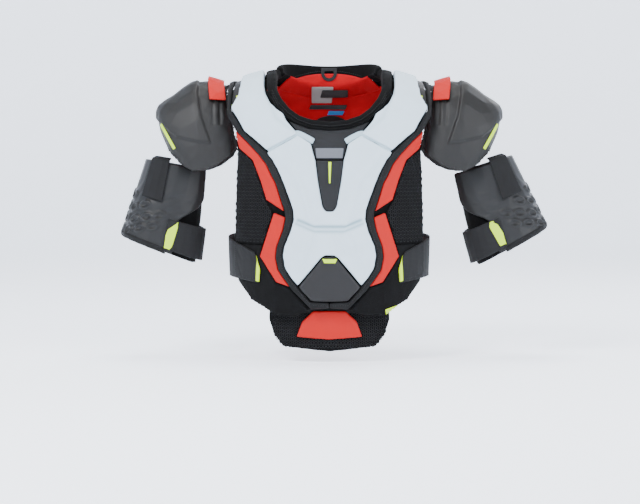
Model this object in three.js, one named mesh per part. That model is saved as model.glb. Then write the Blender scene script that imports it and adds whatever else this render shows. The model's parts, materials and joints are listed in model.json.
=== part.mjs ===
// Ice hockey shoulder pads: a chest panel and a back panel that hang from the shoulders, two shoulder caps,
// two upper-arm guards and a drop-down belly pad, all in millimetres.
// +Z is up, the chest faces -Y, and the wearer's left side is +X. The origin is the middle of the line
// between the two shoulders that the pads rest on.
import * as THREE from "three";

// ---------------------------------------------------------------- driving sizes
const CHEST_HALF_WIDTH = 170; // torso skin, at the ribs
const CHEST_DEPTH = 126; // shoulder line to the front skin, and to the back skin
const SHOULDER_HALF_WIDTH = 236; // torso skin where it spreads into the shoulders
const ROUNDING_START = -120; // height where the chest begins to curve over the shoulder
const RIDGE_TOP = 26; // top of the shoulder line at the neck
const RIDGE_FALL = 0.00113; // how fast that line drops towards the arms, per mm squared
const WRAP = 195; // length given to the quarter turn from chest to shoulder ridge
const PLAN_POWER = 2.3; // 2 is an ellipse in plan, more is boxier

const LINER = [-16, -9.6]; // layers, measured outwards from the torso skin
const CARRIER = [-7, 0];
const MESH = [1.5, 4.5];
const WING = [1.5, 4];
const TRIM = [1.6, 6];
const BINDING = [1, 9];
const PLATE = [1, 12];
const YOKE = [1, 13];
const TAB = [5.2, 8.4];
const COLLAR = [-9, 9];
const RIDGE_GAP = 4; // half the gap between chest and back pieces over the shoulder
const WEB_REACH = 14; // how far the shoulder web reaches each way from the ridge
const FIT = 1; // clearance between neighbours
const HINGE_FIT = 2.5; // and where the chest turns against the shoulder web

const NECK_RX = 85; // back collar, half width at its foot
const NECK_RY = 57; // and how far behind the shoulder line it runs
const COLLAR_WALL = 10;
const COLLAR_FOOT = [14, -6]; // where the back collar starts, at its ends and in the middle
const COLLAR_RISE = [12, 39]; // and how high it stands there

const CAP_WALL = 8;
const CAP_LINER = 6;
const CAP_GAP = 2.5;
const LINK_WALL = 3;

const ARM_PIVOT = [272, -131]; // out from the middle, and height
const ARM_TILT = { left: 18, right: 10 }; // degrees outwards; the two guards hang differently
const ARM_LENGTH = 149;
const ARM_TOP = -8;
const ARM_SLANT = 0.2; // how much higher the outer side of the lower edge is
const ARM_WALL = 7;
const ARM_LINER = 5;
const ARM_GAP = 3;

const MAX_SAG = 0.75; // how far a facet may stand off the true curve
const UNDER_SAG = 1.5; // the layers underneath have room for coarser facets
const SHELL_SAG = 2;
const MAX_EDGE = 62;
const ROUNDS = 6; // each round halves the edges that are still too far off

// ---------------------------------------------------------------- the torso skin
// Points are [x, w]. w runs up the chest, over the shoulder at WRAP and down the back.
const ridge = (x) => RIDGE_TOP - RIDGE_FALL * x * x;
const smooth = (t) => t * t * (3 - 2 * t);
const clamp01 = (t) => Math.min(1, Math.max(0, t));

function halfWidth(z) {
  const spread = smooth(clamp01((z + 150) / 120));
  const waist = 0.0002 * Math.pow(Math.min(0, z + 220), 2);
  return CHEST_HALF_WIDTH - waist + (SHOULDER_HALF_WIDTH - CHEST_HALF_WIDTH) * spread;
}

function skin(x, w) {
  const side = w <= WRAP ? -1 : 1;
  const climb = side < 0 ? w : 2 * WRAP - w;
  const turn = (Math.max(0, climb) / WRAP) * (Math.PI / 2);
  const rise = ridge(x) - ROUNDING_START;
  const z = ROUNDING_START + Math.min(0, climb) + rise * Math.sin(turn);
  const across = Math.pow(Math.min(1, Math.abs(x) / halfWidth(z)), PLAN_POWER);
  const depth = CHEST_DEPTH - 0.00012 * Math.pow(Math.min(0, z + 200), 2);
  return new THREE.Vector3(x, side * depth * Math.pow(1 - across, 1 / PLAN_POWER) * Math.cos(turn), z);
}

// A surface is a function of two numbers; this moves a point of it along its outward normal.
function offsetPoint(surface, u, v, step, distance, outward = 1) {
  const du = surface(u + step, v).sub(surface(u - step, v));
  const dv = surface(u, v + step).sub(surface(u, v - step));
  const normal = du.cross(dv).normalize();
  return surface(u, v).addScaledVector(normal, distance * outward);
}

// Front and back points are given by their height, and ridge points by their distance from the ridge.
function climbTo(x, z) {
  if (z <= ROUNDING_START) return z - ROUNDING_START;
  const share = Math.min(1, (z - ROUNDING_START) / (ridge(x) - ROUNDING_START));
  return (Math.asin(share) / (Math.PI / 2)) * WRAP;
}
const front = (points) => points.map(([x, z]) => [x, climbTo(x, z)]);
const back = (points) => points.map(([x, z]) => [x, 2 * WRAP - climbTo(x, z)]);
const top = (points) => points.map(([x, past]) => [x, WRAP + past]);
const mirror = (points) => points.map(([x, w]) => [-x, w]);

// Half an outline, from the middle line out and back to it, becomes the whole outline.
const bothSides = (half) => [...half, ...mirror(half.filter(([x]) => x !== 0)).reverse()];

// ---------------------------------------------------------------- solids from surfaces
// Splits every edge whose middle stands off the surface, so that curved places get smaller facets.
function refine(points, faces, place, maxSag) {
  const key = (a, b) => (a < b ? a + "_" + b : b + "_" + a);
  for (let round = 0, changed = true; changed && round < ROUNDS; round++) {
    changed = false;
    const middles = new Map();
    const middle = (a, b) => {
      const name = key(a, b);
      if (middles.has(name)) return middles.get(name);
      const m = [(points[a][0] + points[b][0]) / 2, (points[a][1] + points[b][1]) / 2];
      const pa = place(...points[a], 0);
      const pb = place(...points[b], 0);
      const sag = place(...m, 0).distanceTo(pa.clone().lerp(pb, 0.5));
      const split = sag > maxSag || pa.distanceTo(pb) > MAX_EDGE;
      if (split) points.push(m);
      middles.set(name, split ? points.length - 1 : -1);
      return middles.get(name);
    };
    const next = [];
    for (const [a, b, c] of faces) {
      const ab = middle(a, b);
      const bc = middle(b, c);
      const ca = middle(c, a);
      const cuts = (ab >= 0) + (bc >= 0) + (ca >= 0);
      if (cuts) changed = true;
      if (cuts === 0) next.push([a, b, c]);
      else if (cuts === 3) next.push([a, ab, ca], [ab, b, bc], [ca, bc, c], [ab, bc, ca]);
      else if (cuts === 1) {
        if (ab >= 0) next.push([a, ab, c], [ab, b, c]);
        else if (bc >= 0) next.push([a, b, bc], [a, bc, c]);
        else next.push([a, b, ca], [ca, b, c]);
      } else if (ab < 0) next.push([a, b, bc], [a, bc, ca], [ca, bc, c]);
      else if (bc < 0) next.push([b, c, ca], [b, ca, ab], [ab, ca, a]);
      else next.push([c, a, ab], [c, ab, bc], [bc, ab, b]);
    }
    faces = next;
  }
  return faces;
}

function signedVolume(points, faces) {
  return faces.reduce((sum, [a, b, c]) => sum + points[a].dot(points[b].clone().cross(points[c])), 0);
}

// A flat net of points and faces becomes a closed wall between two offsets of a surface.
function wall(net, faces, place, [inner, outer]) {
  const n = net.length;
  const solid = [...net.map((p) => place(...p, outer)), ...net.map((p) => place(...p, inner))];
  const all = [];
  const edges = new Map();
  for (const [a, b, c] of faces) {
    all.push([a, b, c], [c + n, b + n, a + n]);
    for (const [p, q] of [[a, b], [b, c], [c, a]]) edges.set(p + "_" + q, [p, q]);
  }
  for (const [p, q] of edges.values()) {
    if (!edges.has(q + "_" + p)) all.push([q, p, p + n], [q, p + n, q + n]);
  }
  if (signedVolume(solid, all) < 0) all.forEach((f) => f.reverse());
  const geometry = new THREE.BufferGeometry();
  geometry.setAttribute("position", new THREE.Float32BufferAttribute(solid.flatMap((p) => p.toArray()), 3));
  geometry.setIndex(all.flat());
  return geometry;
}

const onTorso = (x, w, offset) => offsetPoint(skin, x, w, 0.5, offset);

// A panel that lies on the torso: any outline, between two offsets of the skin.
function panel(outline, layer) {
  const shape = new THREE.ShapeGeometry(new THREE.Shape(outline.map((p) => new THREE.Vector2(...p))));
  const xy = shape.getAttribute("position");
  const net = Array.from({ length: xy.count }, (_, i) => [xy.getX(i), xy.getY(i)]);
  const index = Array.from(shape.index.array);
  const faces = Array.from({ length: index.length / 3 }, (_, i) => index.slice(3 * i, 3 * i + 3));
  const sag = layer === LINER || layer === CARRIER ? UNDER_SAG : MAX_SAG;
  return wall(net, refine(net, faces, onTorso, sag), onTorso, layer);
}

// A curved shell from a grid of the unit square.
function shell(place, rows, columns, layer) {
  const net = [];
  for (let i = 0; i <= rows; i++) for (let j = 0; j <= columns; j++) net.push([i / rows, j / columns]);
  const faces = [];
  const at = (i, j) => i * (columns + 1) + j;
  for (let i = 0; i < rows; i++)
    for (let j = 0; j < columns; j++)
      faces.push([at(i, j), at(i + 1, j), at(i + 1, j + 1)], [at(i, j), at(i + 1, j + 1), at(i, j + 1)]);
  return wall(net, refine(net, faces, place, SHELL_SAG), place, layer);
}

// ---------------------------------------------------------------- finishes
const finish = (color, roughness) => new THREE.MeshStandardMaterial({ color, roughness, metalness: 0 });
const ice = finish(0xc4ced6, 0.75);
const black = finish(0x17171a, 0.85);
const charcoal = finish(0x2b2a2d, 0.6);
const red = finish(0xd9332b, 0.7);
const liner = finish(0xc01824, 0.95);
const webbing = finish(0x1d1d20, 0.9);
const grey = finish(0x77797f, 0.8);

const pads = new THREE.Group();
function add(name, geometry, material, parent = pads) {
  const mesh = new THREE.Mesh(geometry, material);
  mesh.name = name;
  parent.add(mesh);
  return mesh;
}
function addPair(name, outline, layer, material) {
  add(name + "_left", panel(outline, layer), material);
  add(name + "_right", panel(mirror(outline), layer), material);
}

// ---------------------------------------------------------------- chest panel
const neckFront = [[0, -81.5], [33, -78.5], [57, -69.5], [74.5, -57], [94, -38.5], [105, -16]];
const chestSide = [[172, -33], [161, -73], [156, -116], [160, -192], [162, -260], [163, -306], [157, -342]];
const chestHem = [[135, -371], [93, -396], [60, -399], [32, -386], [0, -383]];
add(
  "chest_carrier",
  panel(
    bothSides([
      ...front(neckFront.map(([x, z]) => [x + (x ? 1.5 : 0), z - 1.5])),
      ...top([[110, -WEB_REACH - HINGE_FIT], [164, -WEB_REACH - HINGE_FIT]]),
      ...front([...chestSide, ...chestHem]),
    ]),
    CARRIER,
  ),
  black,
);
add(
  "chest_liner",
  panel(
    bothSides([
      ...front([[0, -90], [35, -87], [62, -78], [82, -64], [100, -44], [110, -20]]),
      ...top([[114, -WEB_REACH - HINGE_FIT], [160, -WEB_REACH - HINGE_FIT]]),
      ...front([[166, -36], [154, -75], [149, -118], [152, -192], [154, -260], [154, -306], [147, -336]]),
      ...front([[128, -362], [90, -384], [55, -386], [30, -376], [0, -374]]),
    ]),
    LINER,
  ),
  liner,
);
add(
  "collar_front",
  panel(
    bothSides([
      ...front(neckFront),
      ...top([[108, -RIDGE_GAP], [91, -RIDGE_GAP]]),
      ...front([[90, -14], [81, -32], [67, -49], [50, -61], [28, -68], [0, -71]]),
    ]),
    COLLAR,
  ),
  black,
);

// The moulded plate, notched at the top for the sternum insert and at the foot for the belly plate.
const plateOuter = [
  [102, -119], [92, -133], [82, -153], [76, -168], [66, -196], [59.4, -216], [58, -233], [63, -252],
  [73, -277], [76, -293], [73, -313], [64, -329], [52, -344],
];
const insertEdge = [[11, -211], [18.5, -167], [22.5, -134]];
const outwards = (points, by) => points.map(([x, z]) => [x + by, z]);
add(
  "chest_plate",
  panel(
    bothSides([
      ...front([[0, -219.5], [6.5, -219.5]]),
      ...front(outwards(insertEdge, FIT)),
      ...front([[31, -106], [52, -93], ...plateOuter, [14, -297], [8, -293], [0, -293]]),
    ]),
    PLATE,
  ),
  ice,
);
add(
  "sternum_insert",
  panel(bothSides(front([[0, -218], [6, -218], ...insertEdge, [0, -134]])), [1, 9]),
  charcoal,
);
add(
  "neck_bib",
  panel(
    bothSides(front([
      [0, -84.5], [34, -81.5], [55, -74], [67, -69.5], [50.5, -90.5], [29.5, -105], [22.5, -132.5],
      [0, -132.5],
    ])),
    [1, 5],
  ),
  charcoal,
);
add(
  "belly_plate",
  panel(
    bothSides(front([[0, -295.5], [7, -295.5], [12.5, -299], [50.5, -346.5], [30, -370], [0, -371]])),
    PLATE,
  ),
  charcoal,
);

addPair(
  "yoke_front",
  [
    ...front([[53, -90], [72, -69], [77, -58], [87, -52], [99, -41], [107, -26], [110, -13]]),
    ...top([[111, -RIDGE_GAP], [147, -RIDGE_GAP]]),
    ...front([[149, -14], [152, -31], [163, -49], [139, -84], [102, -115]]),
  ],
  YOKE,
  ice,
);
addPair(
  "yoke_tab",
  [
    ...top([[149, -RIDGE_GAP], [160, -RIDGE_GAP]]),
    ...front([[163, -24], [164.5, -44], [154, -29.5], [151, -14]]),
  ],
  TRIM,
  charcoal,
);
const bindingInner = [
  [166, -26], [166, -50], [141, -86], [105, -117.5], [94, -132], [84, -153], [78, -168], [68, -196.5],
  [61.2, -216.5], [60, -233], [65, -251.5], [75, -276.5], [78, -293], [75, -313.5], [66, -330], [54, -346],
  [32, -372.5], [0.6, -373.5],
];
const bindingOuter = [
  [0.6, -382], [30, -384], [62, -351], [74, -333], [84, -317.5], [88, -297], [86, -279.5], [76, -251.5],
  [72, -233], [73, -219.5], [80, -197.5], [88, -170.5], [94, -160], [103, -139.5], [115, -123], [155, -82],
  [169, -60], [172, -30],
];
addPair(
  "chest_binding",
  [...top([[163, -RIDGE_GAP]]), ...front([...bindingInner, ...bindingOuter]), ...top([[170, -RIDGE_GAP]])],
  BINDING,
  webbing,
);
addPair(
  "trim_upper",
  front([
    [156.5, -84], [117, -124], [105, -140.5], [96, -161], [90, -171.5], [82, -198], [75.5, -219],
    [104, -200], [114, -167], [127, -132], [150, -111],
  ]),
  TRIM,
  red,
);
addPair(
  "trim_lower",
  front([
    [92, -222.5], [73.5, -230], [78, -252], [88, -280], [90, -297], [86, -318.5], [76, -334], [67, -346],
    [88, -339], [115, -296],
  ]),
  TRIM,
  red,
);
addPair(
  "side_mesh",
  front([
    [158.5, -86], [152.5, -112], [129, -134], [116, -168], [106, -201], [95, -221.5], [111, -275],
    [158, -275], [156, -192], [153, -116],
  ]),
  MESH,
  black,
);
addPair(
  "side_wing",
  front([
    [112, -277], [117, -296], [90, -341], [66, -350], [36, -386], [60, -395], [92, -392], [132, -368],
    [153, -340], [158, -306], [158, -277],
  ]),
  WING,
  black,
);

// Waist straps: a hook tab on the chest, and the elastic that comes round from the back.
addPair("waist_tab", front([[124, -289], [115, -317], [117, -341], [165, -333], [165, -268]]), TAB, webbing);
const ELASTIC = { front: -9.5, back: 31, high: -266, low: -330, lift: 5 }; // degrees round the side, heights
for (const [name, side] of [["left", 1], ["right", -1]]) {
  const strap = (u, v) => {
    const angle = THREE.MathUtils.degToRad(ELASTIC.front + (ELASTIC.back - ELASTIC.front) * u);
    const z = ELASTIC.low + (ELASTIC.high - ELASTIC.low) * v + ELASTIC.lift * u;
    const power = 2 / PLAN_POWER;
    const y = Math.sign(angle) * Math.pow(Math.abs(Math.sin(angle)), power) * CHEST_DEPTH;
    return new THREE.Vector3(side * Math.pow(Math.cos(angle), power) * halfWidth(z), y, z);
  };
  const place = (u, v, offset) => {
    const p = strap(u, v);
    const out = new THREE.Vector3(p.x / 1.6, p.y, 0).normalize();
    return p.addScaledVector(out, offset);
  };
  add("waist_elastic_" + name, shell(place, 8, 1, [4, 7]), webbing);
}

// ---------------------------------------------------------------- back panel
add(
  "back_carrier",
  panel(
    bothSides([
      ...back([[0, 1], [35, 3], [62, 7], [80, 10]]),
      ...top([[93, 26], [99, 8], [109, 8], [109, WEB_REACH + FIT], [164, WEB_REACH + FIT]]),
      ...back([[172, -33], [160, -73], [153, -120], [158, -192], [160, -260], [160, -310], [150, -338]]),
      ...back([[120, -352], [60, -358], [0, -360]]),
    ]),
    CARRIER,
  ),
  black,
);
add(
  "back_liner",
  panel(
    bothSides([
      ...back([[0, -10], [35, -8], [62, -3], [82, 3]]),
      ...top([[104, 28], [114, RIDGE_GAP], [160, RIDGE_GAP]]),
      ...back([[166, -36], [153, -75], [146, -120], [150, -192], [152, -260], [151, -308], [142, -330]]),
      ...back([[115, -343], [60, -349], [0, -350]]),
    ]),
    LINER,
  ),
  liner,
);
add(
  "spine_plate",
  panel(
    bothSides(back([
      [0, -18], [30, -20], [40, -42], [33, -95], [30, -150], [37, -205], [40, -255], [28, -290], [0, -302],
    ])),
    PLATE,
  ),
  ice,
);
add(
  "lower_back_pad",
  panel(
    bothSides(back([
      [0, -308], [31, -296], [47, -262], [56, -232], [100, -238], [132, -226], [138, -262], [136, -305],
      [112, -330], [58, -338], [0, -340],
    ])),
    [1, 8],
  ),
  black,
);
addPair(
  "yoke_rear",
  [
    ...top([[111, RIDGE_GAP], [147, RIDGE_GAP]]),
    ...back([[149, -14], [153, -31], [162, -50], [140, -83], [104, -110], [70, -84], [86, -60], [100, -34]]),
    ...back([[108, -13]]),
  ],
  YOKE,
  ice,
);
addPair(
  "scapula_pad",
  back([
    [46, -80], [66, -93], [103, -119], [134, -104], [143, -122], [140, -155], [128, -190], [100, -216],
    [52, -206], [40, -160], [43, -110],
  ]),
  [1, 10],
  charcoal,
);
add("size_label", panel(back([[-33, -24], [33, -24], [33, -56], [-33, -56]]), [-19.4, -18.2]), grey);
addPair(
  "shoulder_web",
  top([[113, -WEB_REACH], [161, -WEB_REACH], [161, WEB_REACH], [113, WEB_REACH]]),
  CARRIER,
  webbing,
);

// The padded back of the collar stands up from the neckline.
function collarPlace(u, v, offset) {
  const angle = Math.PI * (0.022 + 0.956 * u);
  const out = new THREE.Vector3(-Math.cos(angle) * NECK_RY, Math.sin(angle) * NECK_RX, 0).normalize();
  const centre = Math.pow(Math.sin(angle), 2);
  const foot = COLLAR_FOOT[0] + (COLLAR_FOOT[1] - COLLAR_FOOT[0]) * centre;
  const rise = COLLAR_RISE[0] + (COLLAR_RISE[1] - COLLAR_RISE[0]) * Math.pow(Math.sin(angle), 0.9);
  const p = new THREE.Vector3(-Math.cos(angle) * NECK_RX, Math.sin(angle) * NECK_RY, foot + rise * v);
  return p.addScaledVector(out, offset + 3 * v);
}
add("collar_back", shell(collarPlace, 18, 2, [-COLLAR_WALL / 2, COLLAR_WALL / 2]), black);

// A webbing loop that hangs inside the collar, to hang the pads up by.
const LOOP = { width: 28, height: 24, band: 6, thick: 2.4, below: 3, fit: 1.6 };
const loopShape = new THREE.Shape();
loopShape.moveTo(-LOOP.width / 2, 0);
loopShape.lineTo(-LOOP.width / 2, -LOOP.height + LOOP.width / 2);
loopShape.absarc(0, -LOOP.height + LOOP.width / 2, LOOP.width / 2, Math.PI, 2 * Math.PI, false);
loopShape.lineTo(LOOP.width / 2, 0);
const loopHole = new THREE.Path();
const holeRadius = LOOP.width / 2 - LOOP.band;
loopHole.moveTo(-holeRadius, -LOOP.band);
loopHole.lineTo(holeRadius, -LOOP.band);
loopHole.absarc(0, -LOOP.height + LOOP.width / 2, holeRadius, 2 * Math.PI, Math.PI, true);
loopShape.holes.push(loopHole);
const loopGeometry = new THREE.ExtrudeGeometry(loopShape, {
  depth: LOOP.thick,
  bevelEnabled: false,
  curveSegments: 8,
});
const loop = add("hang_loop", loopGeometry, webbing);
loop.rotation.x = Math.PI / 2;
loop.position.set(0, NECK_RY - COLLAR_WALL / 2 - LOOP.fit, COLLAR_FOOT[1] + COLLAR_RISE[1] - LOOP.below);

// ---------------------------------------------------------------- belly pad
add(
  "belly_pad_tab",
  panel(bothSides(front([[0, -350], [60, -350], [66, -382], [0, -382]])), [-24, -18]),
  webbing,
);
add(
  "belly_pad",
  panel(
    bothSides(front([[0, -389], [112, -389], [114, -405], [104, -432], [86, -452], [0, -460]])),
    [-26, -18],
  ),
  black,
);
add(
  "belly_band",
  panel(bothSides(front([[0, -390], [28, -390], [48, -408], [58, -434], [0, -438]])), [-17, -12]),
  red,
);

// ---------------------------------------------------------------- shoulder caps
// Arches from the outer tip to the edge by the neck: top x and z, rim x, half depth and rim z.
const CAP_ARCHES = [
  [287, -100, 284, 14, -108],
  [298, -80, 280, 36, -118],
  [301, -57, 268, 54, -131],
  [297, -38, 252, 68, -146],
  [270, -20, 236, 77, -154],
  [240, 2, 214, 80, -152],
  [211, 8, 190, 77, -143],
  [184, 0, 166, 68, -126],
  [180, 1, 161, 56, -115],
];
function catmull(t, a, b, c, d) {
  const square = (2 * a - 5 * b + 4 * c - d) * t * t;
  const cube = (3 * b - a - 3 * c + d) * t * t * t;
  return 0.5 * (2 * b + (c - a) * t + square + cube);
}
function capSkin(u, v) {
  const last = CAP_ARCHES.length - 1;
  const place = Math.min(0.9999, Math.max(0, u)) * last;
  const i = Math.floor(place);
  const near = [i - 1, i, i + 1, i + 2].map((k) => CAP_ARCHES[Math.min(last, Math.max(0, k))]);
  const between = CAP_ARCHES[i].map((_, k) => catmull(place - i, ...near.map((a) => a[k])));
  const [topX, topZ, rimX, depth, rimZ] = between;
  const angle = Math.PI * v;
  const lift = Math.pow(Math.max(0, Math.sin(angle)), 0.85);
  const across = Math.sign(Math.cos(angle)) * Math.pow(Math.abs(Math.cos(angle)), 0.85);
  return new THREE.Vector3(rimX + (topX - rimX) * lift, -depth * across, rimZ + (topZ - rimZ) * lift);
}
// The normal of the cap is taken across a whole facet, so that the inner wall stays clear at the tip.
function capPlace(u, v, offset) {
  const [a, b] = [Math.max(0, u - 0.07), Math.min(1, u + 0.07)];
  const [c, d] = [Math.max(0.02, v - 0.04), Math.min(0.98, v + 0.04)];
  const along = capSkin(b, v).sub(capSkin(a, v));
  const round = capSkin(u, d).sub(capSkin(u, c));
  return capSkin(u, v).addScaledVector(round.cross(along).normalize(), offset);
}
const patch = (u0, u1, v0, v1) => (u, v, offset) => capPlace(u0 + (u1 - u0) * u, v0 + (v1 - v0) * v, offset);
const mirrored = (place, side) => (u, v, offset) => {
  const p = place(u, v, offset);
  return p.setX(p.x * side);
};
for (const [name, side] of [["left", 1], ["right", -1]]) {
  const on = (place) => mirrored(place, side);
  const [rows, columns] = [8, 12]; // the pieces share one grid, so that their facets keep clear of each other
  const cell = (r0, r1, c0, c1) => on(patch(r0 / rows, r1 / rows, c0 / columns, c1 / columns));
  add("cap_shell_" + name, shell(cell(0, rows, 0, columns), rows, columns, [-CAP_WALL, 0]), charcoal);
  const under = [-CAP_WALL - CAP_GAP - CAP_LINER, -CAP_WALL - CAP_GAP];
  add("cap_liner_" + name, shell(cell(1, 7, 1, 11), 6, 10, under), liner);
  add("cap_link_" + name, shell(cell(6, 7, 3, 6), 1, 3, [CAP_GAP, CAP_GAP + LINK_WALL]), red);
}

// ---------------------------------------------------------------- upper-arm guards
// Each guard is a sleeve about its own Z axis: turn 0 faces outwards, -90 the front and 180 the body.
const ARM_OUT = [[0, 48], [0.5, 58], [1, 68]]; // down the sleeve: half width outwards
const ARM_IN = [[0, 66], [0.5, 74], [1, 78]]; // half width towards the body
const ARM_DEEP = [[0, 40], [0.5, 53], [1, 59]]; // half depth
function along(table, t) {
  const i = t < table[1][0] ? 0 : 1;
  const [[t0, a], [t1, b]] = [table[i], table[i + 1]];
  return a + ((b - a) * (t - t0)) / (t1 - t0);
}
function armSkin(turn, t) {
  const a = THREE.MathUtils.degToRad(turn);
  const c = Math.sign(Math.cos(a)) * Math.pow(Math.abs(Math.cos(a)), 0.9);
  const s = Math.sign(Math.sin(a)) * Math.pow(Math.abs(Math.sin(a)), 0.9);
  const x = c * along(c > 0 ? ARM_OUT : ARM_IN, t);
  return new THREE.Vector3(x, s * along(ARM_DEEP, t), ARM_TOP - ARM_LENGTH * t + ARM_SLANT * x * t);
}
function armPlace(turn, t, offset) {
  const a = THREE.MathUtils.degToRad(turn);
  const wide = along(Math.cos(a) > 0 ? ARM_OUT : ARM_IN, t);
  const out = new THREE.Vector3(Math.cos(a) * along(ARM_DEEP, t), Math.sin(a) * wide, 0).normalize();
  return armSkin(turn, t).addScaledVector(out, offset);
}
const sleeve = (turn0, turn1, t0, t1) => (u, v, offset) => {
  const t = t0 + (t1 - t0) * v;
  const a = typeof turn0 === "function" ? turn0(t) : turn0;
  return armPlace(a + (turn1 - a) * u, t, offset);
};
// The shell's front edge is cut away towards the wrist for the strap.
const shellEdge = (t) => -158 + 48 * smooth(clamp01((t - 0.3) / 0.35));
// The hanger strap lies on the shell and bends over its top edge, into the shoulder cap.
function hangerPlace(u, v, offset) {
  const turn = -88 + 38 * u;
  const bend = Math.max(0, 0.25 - v) / 0.25;
  const t = -0.03 + 0.48 * Math.max(0, (v - 0.25) / 0.75);
  const p = armPlace(turn, t, offset * (1 - bend) + bend * -14);
  if (bend > 0) p.z += offset;
  return p;
}
const STRAP = { high: 0.62, low: 0.96 };
for (const [name, side] of [["left", 1], ["right", -1]]) {
  const arm = new THREE.Group();
  arm.position.set(side * ARM_PIVOT[0], 0, ARM_PIVOT[1]);
  arm.rotation.y = -side * THREE.MathUtils.degToRad(ARM_TILT[name]);
  pads.add(arm);
  const on = (place) => mirrored(place, side);
  const { high, low } = STRAP;
  const liner = [-ARM_WALL - ARM_GAP - ARM_LINER, -ARM_WALL - ARM_GAP];
  add("arm_shell_" + name, shell(on(sleeve(shellEdge, 112, 0, 1)), 14, 4, [-ARM_WALL, 0]), charcoal, arm);
  add("arm_liner_" + name, shell(on(sleeve(-186, 132, 0, 1)), 18, 4, liner), black, arm);
  add("arm_strap_" + name, shell(on(sleeve(-228, -171, high, low)), 5, 2, [-5, -2]), webbing, arm);
  add("arm_tab_" + name, shell(on(sleeve(-168, -98, high, low)), 6, 2, [1.6, 4.6]), webbing, arm);
  add("arm_hanger_" + name, shell(on(hangerPlace), 3, 8, [1.6, 4.6]), webbing, arm);

  const anchor = new THREE.BoxGeometry(16, 30, 3);
  const anchorMesh = add("strap_anchor_" + name, anchor, webbing);
  anchorMesh.position.set(side * (ARM_PIVOT[0] - 22), 0, ARM_PIVOT[1] + 14);
}

export default pads;
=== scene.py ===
# %% [markdown]
# # Ice hockey shoulder pads
# The pads are layers worn on a torso: a red liner, a black fabric carrier, and moulded foam plates
# sewn on top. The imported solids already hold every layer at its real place, so each piece here starts
# from its solid and gets the softness, seams and cloth that a solid can't have.

import json
import math

import bpy
import bmesh
from mathutils import Matrix, Vector
from mathutils.bvhtree import BVHTree

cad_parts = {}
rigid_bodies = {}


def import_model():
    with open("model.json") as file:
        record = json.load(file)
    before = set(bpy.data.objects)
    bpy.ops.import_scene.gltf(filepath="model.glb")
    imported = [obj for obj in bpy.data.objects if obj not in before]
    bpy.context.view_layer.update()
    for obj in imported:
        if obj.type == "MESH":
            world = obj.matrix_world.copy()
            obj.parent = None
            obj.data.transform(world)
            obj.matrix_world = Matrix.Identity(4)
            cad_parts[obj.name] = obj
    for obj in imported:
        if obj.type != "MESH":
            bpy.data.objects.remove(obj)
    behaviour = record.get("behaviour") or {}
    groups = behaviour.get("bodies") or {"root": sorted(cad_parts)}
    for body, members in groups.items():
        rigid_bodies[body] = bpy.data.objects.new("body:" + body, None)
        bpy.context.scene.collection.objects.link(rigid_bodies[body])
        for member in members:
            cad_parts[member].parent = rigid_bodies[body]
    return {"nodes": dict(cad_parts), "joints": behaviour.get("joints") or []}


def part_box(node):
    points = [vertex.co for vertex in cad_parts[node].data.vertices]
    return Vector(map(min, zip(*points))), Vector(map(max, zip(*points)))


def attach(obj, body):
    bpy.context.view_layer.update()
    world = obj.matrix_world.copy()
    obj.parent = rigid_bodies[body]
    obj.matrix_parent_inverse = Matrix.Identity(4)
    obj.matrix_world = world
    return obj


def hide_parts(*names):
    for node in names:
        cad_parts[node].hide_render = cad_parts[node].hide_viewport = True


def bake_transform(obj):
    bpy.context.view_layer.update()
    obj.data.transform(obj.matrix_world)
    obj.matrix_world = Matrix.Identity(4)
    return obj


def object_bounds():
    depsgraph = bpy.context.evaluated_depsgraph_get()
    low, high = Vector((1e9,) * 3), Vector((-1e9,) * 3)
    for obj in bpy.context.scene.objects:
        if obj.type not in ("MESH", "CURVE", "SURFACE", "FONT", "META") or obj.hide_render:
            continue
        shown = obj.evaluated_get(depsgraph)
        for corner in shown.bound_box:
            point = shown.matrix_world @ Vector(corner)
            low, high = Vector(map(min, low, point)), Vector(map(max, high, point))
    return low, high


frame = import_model()
cad_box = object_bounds()
MM = 0.001
SIDES = {"left": 1, "right": -1}  # the wearer's left is +X
print("solids loaded:", len(frame["nodes"]))

# %% [markdown]
# ## Shader maths as expressions
# A material is easier to read as a formula than as a list of links. The class below wraps one socket,
# so that `1 - mask * 0.3` adds the Math nodes by itself. Everything else goes through one method,
# `node`.


# %% Materials as expressions
class Wave:
    """One value socket of a material, with the operators that the finishes use."""

    def __init__(self, finish, socket):
        self.finish, self.socket = finish, socket

    def math(self, operation, other=0.0, swap=False):
        pair = (other, self) if swap else (self, other)
        return self.finish.node("ShaderNodeMath", {"operation": operation}, dict(enumerate(pair)))

    def __add__(self, other):
        return self.math("ADD", other)

    __radd__ = __add__

    def __sub__(self, other):
        return self.math("SUBTRACT", other)

    def __rsub__(self, other):
        return self.math("SUBTRACT", other, swap=True)

    def __mul__(self, other):
        return self.math("MULTIPLY", other)

    __rmul__ = __mul__


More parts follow.
